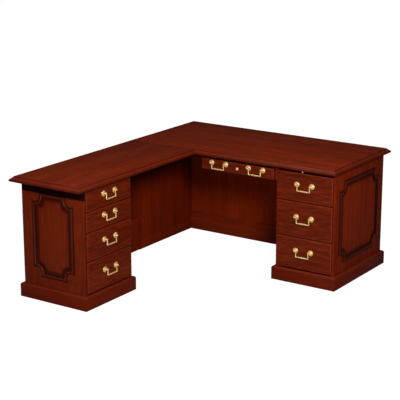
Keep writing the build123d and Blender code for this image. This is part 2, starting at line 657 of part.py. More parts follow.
RETURN_MIDDLE = (PARTITION_Y + CASE_END) / 2
return_half = (RETURN_PEDESTAL_WIDTH - 2 * BOARD) / 2
return_lip = (-RETURN_PEDESTAL_WIDTH / 2 + OUTER_REVEAL, RETURN_PEDESTAL_WIDTH / 2 - INNER_REVEAL)
for number, (high, low) in enumerate(zip(RETURN_DIVISIONS, RETURN_DIVISIONS[1:]), start=1):
    face_origin = (RETURN_FACE, RETURN_MIDDLE, (high + low) / 2)
    save_drawer(
        f"return_drawer_{number}",
        Plane(origin=face_origin, x_dir=(0, 1, 0), z_dir=(1, 0, 0)),
        return_lip,
        ((low - high + DRAWER_GAP) / 2, (high - low - DRAWER_GAP) / 2),
        (-return_half, return_half),
        local_case(low, high),
        RETURN_BOX_DEPTH,
        [sum(return_lip) / 2],
    )

CENTRE_WIDTH = CENTRE_DRAWER_X[1] - CENTRE_DRAWER_X[0]
CENTRE_HEIGHT = DRAWER_TOP - CENTRE_DRAWER_BOTTOM
CENTRE_MIDDLE = LEFT + sum(CENTRE_DRAWER_X) / 2
CENTRE_PULLS = 0.255  # each pull's place from the middle, as a share of the drawer's width
LOCK_RISE = -2.0
HANGER_INSET = 8.0
HANGER_RISE = 12.0  # the hangers' shelves above the drawer front's lower edge
HANGER_SHELF = 7.0  # thickness
HANGER_REACH = 16.0  # how far the shelves run in under the drawer
HANGER_SPARE = 6.0  # length beyond the drawer box
centre_half = CENTRE_WIDTH / 2 - HANGER_INSET - HANGER
centre_face = Plane(
    origin=(CENTRE_MIDDLE, RIGHT_FACE, (DRAWER_TOP + CENTRE_DRAWER_BOTTOM) / 2),
    x_dir=(1, 0, 0),
    z_dir=(0, -1, 0),
)
save_drawer(
    "centre_drawer",
    centre_face,
    (-CENTRE_WIDTH / 2, CENTRE_WIDTH / 2),
    (-CENTRE_HEIGHT / 2, CENTRE_HEIGHT / 2),
    (-centre_half, centre_half),
    (-CENTRE_HEIGHT / 2 + HANGER_RISE, CENTRE_HEIGHT / 2),
    CENTRE_BOX_DEPTH,
    [-CENTRE_WIDTH * CENTRE_PULLS, CENTRE_WIDTH * CENTRE_PULLS],
    lock=(0, LOCK_RISE),
)

# The centre drawer hangs between two rebated hangers fixed under the top. An upright filler closes
# the gap between the drawer and the right partition.
FILLER_WIDTH = 13.0
FILLER_DEPTH = 60.0
FILLER_SET_BACK = 2.0
with BuildPart() as centre_drawer_hangers:
    hanger_front = RIGHT_FACE + FRONT_THICKNESS + FILLER_SET_BACK
    hanger_y = (hanger_front, hanger_front + CENTRE_BOX_DEPTH + HANGER_SPARE)
    shelf_top = CENTRE_DRAWER_BOTTOM + HANGER_RISE
    for side in (-1, 1):
        inner = CENTRE_MIDDLE + side * centre_half
        add_board((inner, inner + side * HANGER), hanger_y, (shelf_top - HANGER_SHELF, UNDER_TOP))
        add_board((inner - side * HANGER_REACH, inner), hanger_y, (shelf_top - HANGER_SHELF, shelf_top))
    filler_front = RIGHT_CASE_FRONT + FILLER_SET_BACK
    filler_y = (filler_front, filler_front + FILLER_DEPTH)
    add_board((PARTITION_X - FILLER_WIDTH, PARTITION_X), filler_y, (CENTRE_DRAWER_BOTTOM, APRON_BOTTOM))
save(centre_drawer_hangers, "centre_drawer_hangers")

# ---------------------------------------------------------------- lock
CAM_THICKNESS = 2.5
CAM_WIDTH = 10.0
CAM_LENGTH = 52.0  # turned up, it reaches behind the rail under the top
COLLAR_RADIUS = 9.5
COLLAR_RISE = 2.0
COLLAR_ROUND = 0.9
PLUG_RISE = 2.6  # the plug's face in front of the drawer's
PLUG_TAIL = 0.5  # and its back behind the drawer front
KEYWAY = (8.0, 1.8)
KEYWAY_DEPTH = 6.0
lock_face = Plane(
    origin=centre_face.from_local_coords(Vector(0, LOCK_RISE)), x_dir=(1, 0, 0), z_dir=(0, -1, 0)
)

with BuildPart() as lock_collar:
    with BuildSketch(lock_face):
        Circle(COLLAR_RADIUS)
        Circle(LOCK_RADIUS + LOCK_PLAY, mode=Mode.SUBTRACT)
    extrude(amount=COLLAR_RISE)
    front_rims = lock_collar.edges().filter_by(GeomType.CIRCLE).group_by(Axis.Y)[0]
    fillet(front_rims.sort_by(SortBy.RADIUS)[-1], COLLAR_ROUND)
save(lock_collar, "lock_collar")

with BuildPart() as lock_cylinder:
    with BuildSketch(lock_face.offset(PLUG_RISE)):
        Circle(LOCK_RADIUS)
    extrude(amount=-FRONT_THICKNESS - PLUG_RISE - PLUG_TAIL)
    with BuildSketch(lock_face.offset(PLUG_RISE)):
        SlotOverall(*KEYWAY)
    extrude(amount=-KEYWAY_DEPTH, mode=Mode.SUBTRACT)
    with BuildSketch(lock_face.offset(-FRONT_THICKNESS - PLUG_TAIL)):
        with Locations((CAM_LENGTH / 2 - CAM_WIDTH / 2, 0)):
            SlotOverall(CAM_LENGTH, CAM_WIDTH)
    extrude(amount=-CAM_THICKNESS)
save(lock_cylinder, "lock_cylinder")
print("  lock", [round(v, 2) for v in lock_face.origin])

# ---------------------------------------------------------------- writing slide
KNOB_RADIUS = 7.5
KNOB_OFFSET = -14.0  # the knob stands a little to the left of the pulls
SLIDE_ROUND = 2.0
with BuildPart() as writing_slide:
    slide_x = (PARTITION_X + BOARD + SIDE_GAP, CASE_RIGHT - BOARD - SIDE_GAP)
    slide_y = (RIGHT_CASE_FRONT, RIGHT_CASE_FRONT + WRITING_DEPTH)
    slide_low = DRAWER_TOP + WRITING_RISE
    add_board(slide_x, slide_y, (slide_low, slide_low + WRITING_BOARD))
    fillet(writing_slide.edges().filter_by(Axis.X).group_by(Axis.Y)[0], SLIDE_ROUND)
save(writing_slide, "writing_slide")

with BuildPart() as writing_slide_knob:
    knob_x = RIGHT_MIDDLE + sum(right_lip) / 2 + KNOB_OFFSET
    knob_z = slide_low + WRITING_BOARD / 2
    knob_foot = Plane(origin=(knob_x, RIGHT_CASE_FRONT, knob_z), x_dir=(1, 0, 0), z_dir=(0, 0, 1))
    with BuildSketch(knob_foot):
        with BuildLine():
            foot = Polyline((0, 0), (5.0, 0), (5.0, -1.5))
            neck = ThreePointArc(foot @ 1, (3.0, -3.4), (3.2, -6.5))
            shoulder = ThreePointArc(neck @ 1, (6.4, -7.0), (KNOB_RADIUS, -9.0))
            crown = CenterArc((0, -9.0), KNOB_RADIUS, -90, 90)
            Line(crown @ 0, (0, 0))
        make_face()
    revolve(axis=Axis(knob_foot.origin, (0, -1, 0)))
save(writing_slide_knob, "writing_slide_knob")

# ---------------------------------------------------------------- glides and fixing blocks
GLIDE_RADIUS = 9.0
GLIDE_IN = 60.0  # from an end of a board in to its glide
with BuildPart() as floor_glides:
    glide_x = (CASE_LEFT + BOARD / 2, PARTITION_X + BOARD / 2, CASE_RIGHT - BOARD / 2)
    glide_spots = [(x, CASE_BACK - GLIDE_IN) for x in glide_x]
    glide_spots += [(x, RIGHT_CASE_FRONT + GLIDE_IN) for x in glide_x[1:]]
    glide_spots += [(glide_x[0], PARTITION_Y - GLIDE_IN), (glide_x[0], CASE_END + GLIDE_IN)]
    end_boards_y = (CASE_END + BOARD / 2, PARTITION_Y - BOARD / 2)
    glide_spots += [(RETURN_CASE_FRONT - GLIDE_IN, y) for y in end_boards_y]
    with Locations(*[(x, y, FLOOR_GAP / 2) for x, y in glide_spots]):
        Cylinder(GLIDE_RADIUS, FLOOR_GAP)
save(floor_glides, "floor_glides")

BLOCK = 24.0
BLOCK_LENGTH = 60.0


def block_run(start):
    """The range a fixing block takes along its board."""
    return (start, start + BLOCK_LENGTH)


with BuildPart() as top_fixing_blocks:
    block_z = (UNDER_TOP - BLOCK, UNDER_TOP)
    for y in (MAIN_FRONT + 300, CASE_BACK - 120):
        add_board((MAIN_KNEE_LEFT, MAIN_KNEE_LEFT + BLOCK), block_run(y), block_z)
        add_board((PARTITION_X - BLOCK, PARTITION_X), block_run(y), block_z)
    for x in (KNEE_LEFT + 200, PARTITION_X - 300):
        add_board(block_run(x), (CASE_BACK - BOARD - BLOCK, CASE_BACK - BOARD), block_z)
    for y in (PARTITION_Y + 120, MAIN_FRONT - 80):
        add_board((KNEE_LEFT, KNEE_LEFT + BLOCK), block_run(y), block_z)
save(top_fixing_blocks, "top_fixing_blocks")
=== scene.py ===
"""A mahogany corner desk: finishes, turned brass and moulded work around its cabinet frame."""

import json
import math

import bmesh
import bpy
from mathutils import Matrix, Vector


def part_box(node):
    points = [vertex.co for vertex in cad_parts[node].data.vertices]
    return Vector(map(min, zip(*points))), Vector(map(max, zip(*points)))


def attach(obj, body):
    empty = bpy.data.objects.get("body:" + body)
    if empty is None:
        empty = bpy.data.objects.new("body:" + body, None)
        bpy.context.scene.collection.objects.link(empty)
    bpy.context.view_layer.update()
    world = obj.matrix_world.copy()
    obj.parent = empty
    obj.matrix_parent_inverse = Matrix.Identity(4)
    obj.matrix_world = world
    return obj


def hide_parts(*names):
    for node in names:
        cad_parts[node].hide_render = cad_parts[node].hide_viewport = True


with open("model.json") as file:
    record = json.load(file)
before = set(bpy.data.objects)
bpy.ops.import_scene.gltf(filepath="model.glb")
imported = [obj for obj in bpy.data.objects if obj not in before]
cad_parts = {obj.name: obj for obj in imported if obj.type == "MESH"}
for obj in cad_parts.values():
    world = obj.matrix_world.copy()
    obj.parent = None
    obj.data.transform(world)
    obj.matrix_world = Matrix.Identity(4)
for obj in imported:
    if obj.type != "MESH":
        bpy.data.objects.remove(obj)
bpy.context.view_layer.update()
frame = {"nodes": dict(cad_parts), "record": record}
NODES = frame["nodes"]
BODY_OF = {n: body for body, members in frame["record"]["behaviour"]["bodies"].items() for n in members}
MM = 0.001
TOP_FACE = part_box("main_top")[1].z
MOULDING_HALF = 13 * MM
HOLLOW = 52 * MM
EAR = 7 * MM

# ---------------------------------------------------------------- small tools


def only(piece):
    """Deselects everything, then makes one piece selected and active."""
    bpy.ops.object.select_all(action="DESELECT")
    piece.select_set(True)
    bpy.context.view_layer.objects.active = piece


def edit(piece):
    """Opens a piece for work on its faces."""
    only(piece)
    bpy.ops.object.mode_set(mode="EDIT")
    bpy.ops.mesh.select_mode(type="FACE")


def leave_edit():
    bpy.ops.object.mode_set(mode="OBJECT")


def apply_modifier(piece, kind, **settings):
    """Adds a modifier to a piece, sets it and applies it."""
    only(piece)
    modifier = piece.modifiers.new(kind.title(), kind)
    for key, value in settings.items():
        setattr(modifier, key, value)
    bpy.ops.object.modifier_apply(modifier=modifier.name)


def smooth(piece, degrees=32):
    """Shades a piece smooth wherever its faces meet at less than an angle."""
    only(piece)
    bpy.ops.object.shade_smooth_by_angle(angle=math.radians(degrees))


def coat(piece, finish):
    """Gives a piece its finish: a face material, and a second one for rubbed edges if there is one, painted
    paler as a highlight.
    """
    piece.data.materials.clear()
    for material in finish:
        piece.data.materials.append(material)


def settle(piece, node):
    """A finished piece stands for a cabinet node: it takes that node's body."""
    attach(piece, BODY_OF[node])
    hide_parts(node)
    return piece


def add_block(name, low, high):
    """A cube primitive from its lowest to its highest corner, its place in its mesh."""
    bpy.ops.object.select_all(action="DESELECT")
    middle = [(a + b) / 2 for a, b in zip(low, high)]
    bpy.ops.mesh.primitive_cube_add(size=1, location=middle)
    block = bpy.context.object
    block.name = name
    block.scale = [b - a for a, b in zip(low, high)]
    bpy.ops.object.transform_apply(location=True, rotation=True, scale=True)
    return block


def join(pieces, name):
    """Joins pieces into the first one."""
    bpy.ops.object.select_all(action="DESELECT")
    for piece in pieces:
        piece.select_set(True)
    bpy.context.view_layer.objects.active = pieces[0]
    bpy.ops.object.join()
    pieces[0].name = name
    return pieces[0]


def select_faces(piece, keep):
    """In edit mode, selects the faces for which keep(face) is true."""
    mesh = bmesh.from_edit_mesh(piece.data)
    for face in mesh.faces:
        face.select_set(keep(face))
    mesh.select_flush_mode()
    bmesh.update_edit_mesh(piece.data)


# ---------------------------------------------------------------- node helpers


def new_group(name, inputs, outputs):
    """A shader node group with named sockets; returns the tree and its two end nodes."""
    tree = bpy.data.node_groups.new(name, "ShaderNodeTree")
    for label, kind, value in inputs:
        socket = tree.interface.new_socket(label, in_out="INPUT", socket_type=kind)
        if value is not None:
            socket.default_value = value
    for label, kind in outputs:
        tree.interface.new_socket(label, in_out="OUTPUT", socket_type=kind)
    return tree, tree.nodes.new("NodeGroupInput"), tree.nodes.new("NodeGroupOutput")


def feed(tree, made, links):
    """Fills a node's inputs, by name or index: a link from another node's output, or else a value."""
    for key, source in links:
        if hasattr(source, "is_output"):
            tree.links.new(source, made.inputs[key])
        else:
            made.inputs[key].default_value = source
    return made


def node(tree, kind, links=(), **settings):
    """Adds a node, sets its properties and fills its inputs."""
    made = tree.nodes.new(kind)
    for key, value in settings.items():
        setattr(made, key, value)
    return feed(tree, made, links)


def maths(tree, operation, first, second=0.0, clamp=False):
    """The result of one operation on two values."""
    made = node(tree, "ShaderNodeMath", [(0, first), (1, second)], operation=operation, use_clamp=clamp)
    return made.outputs[0]


def blend_colours(tree, factor, first, second, kind="MIX"):
    """Goes from the first colour to the second as factor rises."""
    links = ((0, factor), (6, first), (7, second))
    made = node(tree, "ShaderNodeMix", links, data_type="RGBA", blend_type=kind)
    return made.outputs[2]


def between(tree, value, low, high, out_low=0.0, out_high=1.0):
    """Maps a value from one range smoothly onto another."""
    made = node(
        tree,
        "ShaderNodeMapRange",
        [
            ("Value", value),
            ("From Min", low),
            ("From Max", high),
            ("To Min", out_low),
            ("To Max", out_high),
        ],
        interpolation_type="SMOOTHSTEP",
    )
    return made.outputs["Result"]


def streaks(tree, vector, along, across, detail, distortion=0.0):
    """Noise drawn out along X, as wood fibres are."""
    stretched = node(tree, "ShaderNodeMapping", [("Vector", vector), ("Scale", (along, across, across))])
    links = [("Vector", stretched.outputs[0]), ("Scale", 1.0), ("Detail", detail), ("Distortion", distortion)]
    noise = node(tree, "ShaderNodeTexNoise", links)
    return noise.outputs["Fac"]


# ---------------------------------------------------------------- shared effects
FILLED_PORES = (0.045, 0.014, 0.006, 1)  # added to the light colour in the flecks
HIGHLIGHT_PALE = (0.060, 0.020, 0.010, 1)  # added to the light colour on a rounded top: a painted highlight
# Distances from a moulding's middle line, out of the frame positive, over which each tone fades.
GLAZE_OUTSIDE = (14 * MM, 22 * MM)
GLAZE_INSIDE = (-42 * MM, -20 * MM)
FIELD_FADE = (-110 * MM, -20 * MM)
RIDGE_LINE = 2 * MM
RIDGE_FADE = (2 * MM, 6 * MM)


def build_wood_grain():
    """Fibres along X: broad bands, ribbon figure, fine pores and short flecks."""
    tree, given, out = new_group(
        "wood_grain",
        [
            ("Vector", "NodeSocketVector", None),
            ("Light", "NodeSocketColor", (0.2, 0.05, 0.02, 1)),
            ("Dark", "NodeSocketColor", (0.05, 0.01, 0.005, 1)),
            ("Band", "NodeSocketFloat", 0.6),
            ("Pores", "NodeSocketFloat", 0.5),
            ("Flecks", "NodeSocketFloat", 0.2),
        ],
        [("Color", "NodeSocketColor"), ("Roughness", "NodeSocketFloat"), ("Height", "NodeSocketFloat")],
    )
    vector = given.outputs["Vector"]
    broad = between(tree, streaks(tree, vector, 0.9, 9.0, 3.0, 0.6), 0.32, 0.68)
    ribbon = between(tree, streaks(tree, vector, 2.2, 42.0, 4.0, 1.1), 0.34, 0.68)
    pores = between(tree, streaks(tree, vector, 9.0, 420.0, 2.0), 0.50, 0.66)
    flecks = between(tree, streaks(tree, vector, 11.0, 140.0, 2.0, 0.5), 0.52, 0.66)
    bands = maths(tree, "MULTIPLY", maths(tree, "ADD", broad, ribbon), 0.5)
    amount = maths(tree, "MULTIPLY", bands, given.outputs["Band"])
    base = blend_colours(tree, amount, given.outputs["Light"], given.outputs["Dark"])
    pore_mask = maths(tree, "MULTIPLY", pores, given.outputs["Pores"])
    pored = blend_colours(tree, pore_mask, base, given.outputs["Dark"])
    fleck_mask = maths(tree, "MULTIPLY", flecks, given.outputs["Flecks"])
    filled = blend_colours(tree, 1.0, given.outputs["Light"], FILLED_PORES, "ADD")
    flecked = blend_colours(tree, fleck_mask, pored, filled)
    tree.links.new(flecked, out.inputs["Color"])
    tree.links.new(between(tree, ribbon, 0.0, 1.0, 0.36, 0.48), out.inputs["Roughness"])
    tree.links.new(maths(tree, "SUBTRACT", 1.0, pore_mask), out.inputs["Height"])
    return tree


def build_glaze():
    """How near a point is to a moulding frame with hollow corners, and whether it is within."""
    tree, given, out = new_group(
        "moulding_glaze",
        [
            ("Across", "NodeSocketFloat", 0.0),
            ("Up", "NodeSocketFloat", 0.0),
            ("Half Width", "NodeSocketFloat", 0.15),
            ("Half Height", "NodeSocketFloat", 0.2),
            ("Hollow", "NodeSocketFloat", HOLLOW),
            ("Ear", "NodeSocketFloat", EAR),
        ],
        [("Glaze And Shade", "NodeSocketFloat"), ("Field", "NodeSocketFloat"), ("Ridge", "NodeSocketFloat")],
    )
    past_side = maths(tree, "SUBTRACT", given.outputs["Across"], given.outputs["Half Width"])
    past_top = maths(tree, "SUBTRACT", given.outputs["Up"], given.outputs["Half Height"])
    from_box = maths(tree, "MAXIMUM", past_side, past_top)
    corner_x = maths(tree, "ADD", past_side, given.outputs["Ear"])
    corner_y = maths(tree, "ADD", past_top, given.outputs["Ear"])
    square = maths(tree, "ADD", maths(tree, "POWER", corner_x, 2.0), maths(tree, "POWER", corner_y, 2.0))
    from_hollow = maths(tree, "SUBTRACT", given.outputs["Hollow"], maths(tree, "SQRT", square))
    signed = maths(tree, "MAXIMUM", from_box, from_hollow)
    outside = between(tree, signed, *GLAZE_OUTSIDE, 1.0, 0.0)
    inside = between(tree, signed, *GLAZE_INSIDE)
    tree.links.new(maths(tree, "MINIMUM", outside, inside), out.inputs["Glaze And Shade"])
    tree.links.new(between(tree, signed, *FIELD_FADE, 1.0, 0.0), out.inputs["Field"])
    from_ridge = maths(tree, "ABSOLUTE", maths(tree, "SUBTRACT", signed, RIDGE_LINE))
    tree.links.new(between(tree, from_ridge, *RIDGE_FADE, 1.0, 0.0), out.inputs["Ridge"])
    return tree


def under_face(*drops):
    """Heights given as millimetres down from the flat of the tops."""
    return [TOP_FACE - drop * MM for drop in drops]


def build_top_edge_painted_light():
    """Painted light in bands up the moulded edge of a top: painted shade in the quirk, down the nose and in
    the undercut, and a painted highlight on the ogee between.
    """
    tree, given, out = new_group(
        "top_edge_painted_shade_and_highlight",
        [("Height", "NodeSocketFloat", TOP_FACE)],
        [("Glaze And Shade", "NodeSocketFloat"), ("Painted Highlight", "NodeSocketFloat")],
    )
    height = given.outputs["Height"]
    quirk_foot = between(tree, height, *under_face(6.0, 3.5))
    quirk_head = between(tree, height, *under_face(1.0, 0.2), 1.0, 0.0)
    quirk = maths(tree, "MULTIPLY", quirk_foot, quirk_head)
    nose = between(tree, height, *under_face(24, 10), 0.75, 0.25)
    undercut = between(tree, height, *under_face(32, 25), 1.0, 0.0)
    below_quirk = between(tree, height, *under_face(6, 4), 1.0, 0.0)
    lower = maths(tree, "MAXIMUM", maths(tree, "MULTIPLY", nose, below_quirk), undercut)
    shade = maths(tree, "MAXIMUM", maths(tree, "MULTIPLY", quirk, 0.9), lower)
    tree.links.new(shade, out.inputs["Glaze And Shade"])
    highlight_foot = between(tree, height, *under_face(19, 15))
    highlight_head = between(tree, height, *under_face(10, 6), 1.0, 0.0)
    highlight_band = maths(tree, "MULTIPLY", highlight_foot, highlight_head)
    tree.links.new(maths(tree, "MULTIPLY", highlight_band, 0.22), out.inputs["Painted Highlight"])
    return tree


def build_handled_metal():
    """Cast brass that hands have polished: darker lacquer in patches, and fine scratches."""
    tree, given, out = new_group(
        "handled_metal",
        [
            ("Vector", "NodeSocketVector", None),
            ("Bright", "NodeSocketColor", (0.8, 0.6, 0.3, 1)),
            ("Dull", "NodeSocketColor", (0.4, 0.25, 0.1, 1)),
            ("Metal", "NodeSocketFloat", 0.6),
        ],
        [
            ("Color", "NodeSocketColor"),
            ("Roughness", "NodeSocketFloat"),
            ("Height", "NodeSocketFloat"),
            ("Metallic", "NodeSocketFloat"),
        ],
    )
    vector = given.outputs["Vector"]
    patches = node(tree, "ShaderNodeTexNoise", [("Vector", vector), ("Scale", 70.0), ("Detail", 4.0)])
    scratches = node(tree, "ShaderNodeTexNoise", [("Vector", vector), ("Scale", 900.0), ("Detail", 2.0)])
    dull = between(tree, patches.outputs["Fac"], 0.48, 0.75)
    colour = blend_colours(tree, dull, given.outputs["Bright"], given.outputs["Dull"])
    tree.links.new(colour, out.inputs["Color"])
    tree.links.new(between(tree, patches.outputs["Fac"], 0.3, 0.75, 0.30, 0.46), out.inputs["Roughness"])
    bare = between(tree, patches.outputs["Fac"], 0.3, 0.75, 1.0, 0.8)
    tree.links.new(maths(tree, "MULTIPLY", bare, given.outputs["Metal"]), out.inputs["Metallic"])
    tree.links.new(scratches.outputs["Fac"], out.inputs["Height"])
    return tree


WOOD_GRAIN = build_wood_grain()
GLAZE = build_glaze()
TOP_EDGE_PAINTED_LIGHT = build_top_edge_painted_light()
HANDLED_METAL = build_handled_metal()

# ---------------------------------------------------------------- finishes
# Dark glaze by the mouldings; the same colour is painted shade on the tops' moulded edge.
GLAZE_AND_SHADE_DARK = (0.034, 0.0026, 0.0004, 1)
# Painted shadow under overhangs: its near-black colour, the height over which it fades in, and its strength.
PAINTED_SHADOW = (0.006, 0.0006, 0.0002, 1)
SHADOW_FADE = 6 * MM
SHADOW_AMOUNT = 0.96
# Painted highlight on a rounded top: the height over which it fades in, and its strength.
HIGHLIGHT_FADE = 8 * MM
HIGHLIGHT_AMOUNT = 0.22
# Heights above the floor from which the wood changes tone: painted shadow under an overhang above the first
# two, a painted highlight on a rounded top above the third.
PARTITION_SHADOW_FROM = 709 * MM
RETURN_SHADOW_FROM = 661 * MM
BASE_HIGHLIGHT_FROM = 76 * MM
GRAIN_TURN = {"x": (0, 0, 0), "y": (0, 0, math.radians(90)), "z": (0, math.radians(90), 0)}


def new_material(name):
    """A material, with its node tree and its shader."""
    material = bpy.data.materials.new(name)
    material.use_nodes = True
    tree = material.node_tree
    return material, tree, tree.nodes["Principled BSDF"]


def place_group(tree, group, links):
    """Puts a shared effect into a material."""
    return feed(tree, node(tree, "ShaderNodeGroup", node_tree=group), links)


def grain_vector(tree, coordinates, grain, offset):
    """Object coordinates turned so that X runs along the grain, and shifted to fresh timber."""
    if grain != "around":
        turn = [("Vector", coordinates), ("Rotation", GRAIN_TURN[grain]), ("Location", offset)]
        turned = node(tree, "ShaderNodeMapping", turn)
        return turned.outputs[0]
    facing = tree.nodes.new("ShaderNodeTexCoord").outputs["Normal"]
    facing_x = node(tree, "ShaderNodeSeparateXYZ", [(0, facing)]).outputs["X"]
    side_on = maths(tree, "GREATER_THAN", maths(tree, "ABSOLUTE", facing_x), 0.6)
    split = node(tree, "ShaderNodeSeparateXYZ", [(0, coordinates)])
    turned = [(0, split.outputs["Y"]), (1, split.outputs["X"]), (2, split.outputs["Z"])]
    swapped = node(tree, "ShaderNodeCombineXYZ", turned)
    mix = node(tree, "ShaderNodeMix", data_type="VECTOR")
    tree.links.new(side_on, mix.inputs[0])
    tree.links.new(coordinates, mix.inputs[4])
    tree.links.new(swapped.outputs[0], mix.inputs[5])
    return mix.outputs[1]


def polish(name, grain, light, dark, band, pores, flecks, offset, sheen, more):
    """One polished wood material.

    more may hold frame (the moulding frame to glaze round), is_frame (this wood is that moulding),
    tuck (the height from which the wood is painted near black, a painted shadow under an overhang),
    round (the height from which a rounded top is painted paler, a painted highlight) and moulded
    (this wood has the tops' moulded edge, with its bands of painted shade and painted highlight).
    """
    material, tree, shader = new_material(name)
    coordinates = tree.nodes.new("ShaderNodeTexCoord").outputs["Object"]
    vector = grain_vector(tree, coordinates, grain, offset)
    grain_node = place_group(
        tree,
        WOOD_GRAIN,
        [
            ("Vector", vector),
            ("Light", light),
            ("Dark", dark),
            ("Band", band),
            ("Pores", pores),
            ("Flecks", flecks),
        ],
    )
    colour = grain_node.outputs["Color"]
    height = node(tree, "ShaderNodeSeparateXYZ", [(0, coordinates)]).outputs["Z"]
    if "frame" in more:
        axis, centre, half_width, half_height = more["frame"]
        both = [(0, coordinates), (1, centre)]
        from_centre = node(tree, "ShaderNodeVectorMath", both, operation="SUBTRACT")
        away = node(tree, "ShaderNodeVectorMath", [(0, from_centre.outputs[0])], operation="ABSOLUTE")
        split = node(tree, "ShaderNodeSeparateXYZ", [(0, away.outputs[0])])
        near = place_group(
            tree,
            GLAZE,
            [
                ("Across", split.outputs[axis]),
                ("Up", split.outputs["Z"]),
                ("Half Width", half_width),
                ("Half Height", half_height),
            ],
        )
        if more.get("is_frame"):
            colour = blend_colours(tree, near.outputs["Ridge"], GLAZE_AND_SHADE_DARK, colour)
        else:
            lit = maths(tree, "MULTIPLY", near.outputs["Field"], 0.45)
            colour = blend_colours(tree, lit, colour, light)
            shade = maths(tree, "MULTIPLY", near.outputs["Glaze And Shade"], 0.9)
            colour = blend_colours(tree, shade, colour, GLAZE_AND_SHADE_DARK)
    # Painted shadow: from a given height up, the wood is painted near black where the shadow under an
    # overhang falls.
    if "tuck" in more:
        tucked = between(tree, height, more["tuck"], more["tuck"] + SHADOW_FADE, 0.0, SHADOW_AMOUNT)
        colour = blend_colours(tree, tucked, colour, PAINTED_SHADOW)
    # Painted highlight: from a given height up, a rounded top is painted paler, broken up by the pores like
    # wear.
    if "round" in more:
        highlight_band = between(tree, height, more["round"], more["round"] + HIGHLIGHT_FADE, 0.0, HIGHLIGHT_AMOUNT)
        paler = blend_colours(tree, 1.0, light, HIGHLIGHT_PALE, "ADD")
        worn = maths(tree, "MULTIPLY", highlight_band, grain_node.outputs["Height"])
        colour = blend_colours(tree, worn, colour, paler)
    # The tops' moulded edge: painted shade in the quirk and under the nose, a painted highlight on the ogee.
    if more.get("moulded"):
        bands = place_group(tree, TOP_EDGE_PAINTED_LIGHT, [("Height", height)])
        colour = blend_colours(tree, bands.outputs["Painted Highlight"], colour, light)
        colour = blend_colours(tree, bands.outputs["Glaze And Shade"], colour, GLAZE_AND_SHADE_DARK)
    tree.links.new(colour, shader.inputs["Base Color"])
    tree.links.new(grain_node.outputs["Roughness"], shader.inputs["Roughness"])
    bump = node(tree, "ShaderNodeBump", [("Height", grain_node.outputs["Height"]), ("Strength", 0.10)])
    bump.inputs["Distance"].default_value = 0.0004
    tree.links.new(bump.outputs[0], shader.inputs["Normal"])
    shader.inputs["Specular IOR Level"].default_value = sheen
    return material


def wood(name, grain, light, dark, band=0.6, pores=0.5, flecks=0.2, offset=(0, 0, 0), **more):
    """A polished wood, and its rubbed edges, which catch more light through more sheen and are mostly painted
    a little paler, a painted highlight.
    """
    sheen = more.get("sheen", 0.10)
    # How much paler the edge copy is painted: a painted highlight, partly wear.
    edge_highlight = more.get("edge_highlight", 1.08)
    pale = (light[0] * edge_highlight, light[1] * edge_highlight, light[2] * edge_highlight, 1)
    plain = {key: value for key, value in more.items() if key not in ("frame", "is_frame")}
    faces = polish(name, grain, light, dark, band, pores, flecks, offset, sheen, more)
    edges = polish(name + "_edges", grain, pale, light, band, pores, flecks, offset, sheen * 1.5, plain)
    return faces, edges


def metal(name, bright, dull, bare=0.62):
    """A cast metal finish. bare is how metallic it is where the lacquer has worn off."""
    material, tree, shader = new_material(name)
    coordinates = tree.nodes.new("ShaderNodeTexCoord").outputs["Object"]
    links = [("Vector", coordinates), ("Bright", bright), ("Dull", dull), ("Metal", bare)]
    worn = place_group(tree, HANDLED_METAL, links)
    tree.links.new(worn.outputs["Color"], shader.inputs["Base Color"])
    tree.links.new(worn.outputs["Roughness"], shader.inputs["Roughness"])
    bump = node(tree, "ShaderNodeBump", [("Height", worn.outputs["Height"]), ("Strength", 0.06)])
    bump.inputs["Distance"].default_value = 0.0002
    tree.links.new(bump.outputs[0], shader.inputs["Normal"])
    tree.links.new(worn.outputs["Metallic"], shader.inputs["Metallic"])
    return (material,)


RED = (0.188, 0.0180, 0.0028, 1)
RED_DEEP = (0.055, 0.0036, 0.0004, 1)
FRONT_RED = (0.140, 0.0130, 0.0020, 1)
FRONT_DEEP = (0.042, 0.0028, 0.0003, 1)
RETURN_RED = (0.136, 0.0125, 0.0018, 1)
PANEL_RED = (0.146, 0.0130, 0.0016, 1)
PANEL_DEEP = (0.052, 0.0034, 0.0004, 1)
RIGHT_RED = (0.190, 0.0145, 0.0010, 1)
BASE_RED = (0.118, 0.0090, 0.0010, 1)
BASE_DEEP = (0.045, 0.0028, 0.0003, 1)
# Woods in the knee space are painted lighter than the panels: painted fill light for the dim space under the
# tops.
KNEE_RED_PAINTED_FILL = (0.205, 0.0165, 0.0009, 1)
KNEE_DEEP_PAINTED_FILL = (0.080, 0.0055, 0.0004, 1)
SIDE_RED_PAINTED_FILL = (0.170, 0.0130, 0.0006, 1)
SIDE_DEEP_PAINTED_FILL = (0.070, 0.0044, 0.0003, 1)
# Dark stain of the rails and dividers; also painted shade in the drawer gaps and under the top.
STAIN_AND_SHADE = (0.045, 0.0045, 0.0012, 1)
STAIN_AND_SHADE_DEEP = (0.016, 0.0014, 0.0005, 1)
POPLAR = (0.52, 0.33, 0.17, 1)
POPLAR_DEEP = (0.33, 0.19, 0.085, 1)


def frame_glaze(node_name, axis):
    """A moulding frame's middle line: its direction, centre and half sizes."""
    low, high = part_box(node_name)
    side = "XYZ".index(axis)
    half_width = (high[side] - low[side]) / 2 - MOULDING_HALF
    half_height = (high.z - low.z) / 2 - MOULDING_HALF
    return axis, (low + high) / 2, half_width, half_height


